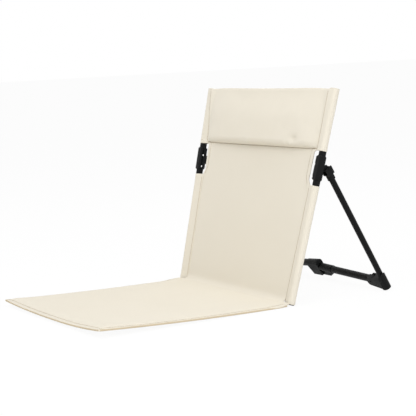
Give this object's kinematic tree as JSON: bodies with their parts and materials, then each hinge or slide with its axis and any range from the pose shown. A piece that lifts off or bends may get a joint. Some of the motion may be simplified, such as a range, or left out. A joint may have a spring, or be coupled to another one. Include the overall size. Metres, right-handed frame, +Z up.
{
  "type": "folding floor chair",
  "caption": "Legless folding chair: a padded seat mat on the floor and a reclined fabric back on two posts, held up by a folding rear frame.",
  "frame": {"origin": "on the floor, under the middle of the seat mat's footprint", "axes": "+Z up, the sitter faces -Y, +X is the sitter's left; the plane X = 0 halves the chair"},
  "size_m": [0.498, 0.6983, 0.4378],
  "materials": {
    "canvas": "woven, matt",
    "binding": "woven tape, matt",
    "tube": "black powder coat, satin",
    "moulding": "black, satin",
    "pin": "black, satin",
    "rivet": "plain"
  },
  "bodies": {
    "left_post": {"left_post_tube": "tube", "left_post_plugs": "moulding", "left_front_shell": "moulding", "left_rear_clevis": "moulding", "left_flange_rivets": "rivet", "left_leg_pin": "pin", "left_lower_sleeve": "canvas", "left_upper_sleeve": "canvas", "back_panel": "canvas", "headrest_pad": "canvas"},
    "seat": {"seat_mat": "canvas", "seat_edge_binding": "binding"},
    "left_leg": {"left_leg_tube": "tube", "left_leg_socket": "moulding", "left_boot": "moulding", "left_boot_pin": "pin"},
    "left_strut": {"left_strut_tube": "tube", "left_strut_end": "moulding", "left_knuckle_tongue": "moulding"},
    "right_strut": {"right_strut_tube": "tube", "right_strut_end": "moulding", "right_knuckle_fork": "moulding", "knuckle_pin": "pin"},
    "right_leg": {"right_leg_tube": "tube", "right_leg_socket": "moulding", "right_boot": "moulding", "right_boot_pin": "pin"},
    "right_post": {"right_post_tube": "tube", "right_post_plugs": "moulding", "right_front_shell": "moulding", "right_rear_clevis": "moulding", "right_flange_rivets": "rivet", "right_leg_pin": "pin", "right_lower_sleeve": "canvas", "right_upper_sleeve": "canvas"}
  },
  "joints": [
    {"name": "seat_fold", "type": "hinge", "parent": "left_post", "child": "seat", "pos_m": [0, 0.20585, 0.0062], "axis": [-1, 0, 0], "range_deg": [0, 95]},
    {"name": "leg_fold", "type": "hinge", "parent": "left_post", "child": "left_leg", "pos_m": [0.23243, 0.3113, 0.27292], "axis": [-1, 0, 0], "range_deg": [0, 43]},
    {"name": "strut_fold", "type": "hinge", "parent": "left_leg", "child": "left_strut", "pos_m": [0.1812, 0.461, 0.02], "axis": [0, 0.8606, 0.5093], "range_deg": [0, 78], "deforming": ["back_panel", "headrest_pad", "seat_mat", "seat_edge_binding"]},
    {"name": "knuckle_fold", "type": "hinge", "parent": "left_strut", "child": "right_strut", "pos_m": [0, 0.46304, 0.01656], "axis": [0, 0.8606, 0.5093], "range_deg": [-156, 0]},
    {"name": "right_boot_pivot", "type": "hinge", "parent": "right_strut", "child": "right_leg", "pos_m": [-0.1812, 0.461, 0.02], "axis": [0, 0.8606, 0.5093], "range_deg": [0, 78]},
    {"name": "right_leg_fold", "type": "hinge", "parent": "right_leg", "child": "right_post", "pos_m": [-0.23243, 0.3113, 0.27292], "axis": [-1, 0, 0], "range_deg": [-43, 0]}
  ],
  "couplings": [
    {"joint": "knuckle_fold", "follows": "strut_fold", "ratio": -2},
    {"joint": "right_boot_pivot", "follows": "strut_fold", "ratio": 1},
    {"joint": "right_leg_fold", "follows": "leg_fold", "ratio": -1}
  ]
}
